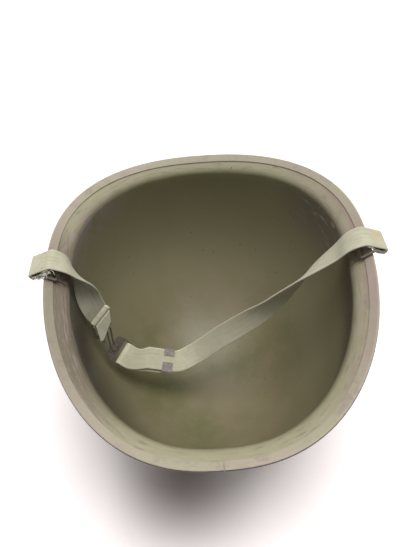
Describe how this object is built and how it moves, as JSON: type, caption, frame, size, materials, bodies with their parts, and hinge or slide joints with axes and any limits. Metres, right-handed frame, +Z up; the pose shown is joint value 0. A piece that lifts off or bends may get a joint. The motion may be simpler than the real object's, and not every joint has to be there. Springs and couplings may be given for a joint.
{
  "type": "steel pot helmet",
  "caption": "Deep steel helmet shell with a flared brim and rim band, standing on its crown, with a two-part webbing chin strap, bails, ring and hook buckle.",
  "frame": {"origin": "centre of the small flat of the crown that the helmet rests on, on the shell's middle plane", "axes": "+X to the wearer's right, -X to the wearer's left, -Y to the front, +Y to the rear, +Z up out of the opening"},
  "size_m": [0.2612, 0.2812, 0.1868],
  "materials": {
    "shell_paint": "matte, worn",
    "rim_paint": "matte, worn",
    "hardware": "satin, worn",
    "rivet": "worn",
    "webbing": "matte ribbed cotton"
  },
  "bodies": {
    "helmet": {"shell": "shell_paint", "rim_band": "rim_paint", "right_hinge_plate": "hardware", "left_hinge_plate": "hardware", "short_strap": "webbing", "long_strap": "webbing", "anchor_ring": "hardware"},
    "right_bail": {"right_bail": "hardware"},
    "left_bail": {"left_bail": "hardware"},
    "buckle": {"buckle_plate": "hardware", "release_hook": "hardware", "hook_rivets": "rivet"},
    "release_tab": {"release_tab": "hardware"},
    "end_clip": {"end_clip": "hardware"}
  },
  "joints": [
    {"name": "right_bail_swing", "type": "hinge", "parent": "helmet", "child": "right_bail", "pos_m": [0.11111, 0.004, 0.17486], "axis": [0, -1, 0], "range_deg": [0, 120], "deforming": ["long_strap"]},
    {"name": "left_bail_swing", "type": "hinge", "parent": "helmet", "child": "left_bail", "pos_m": [-0.11111, 0.004, 0.17486], "axis": [0, 1, 0], "range_deg": [0, 120], "deforming": ["short_strap"]},
    {"name": "buckle_swing", "type": "hinge", "parent": "helmet", "child": "buckle", "pos_m": [-0.08782, -0.0076, 0.11062], "axis": [0.6671, 0.5671, 0.4831], "range_deg": [-12, 12], "deforming": ["long_strap"]},
    {"name": "release_tab_swing", "type": "hinge", "parent": "helmet", "child": "release_tab", "pos_m": [-0.09309, -0.01208, 0.1068], "axis": [0.6671, 0.5671, 0.4831], "range_deg": [-15, 60]},
    {"name": "end_clip_slide", "type": "slide", "parent": "buckle", "child": "end_clip", "axis": [-0.8661, -0.069, 0.4951], "range_m": [0, 0.021]}
  ]
}
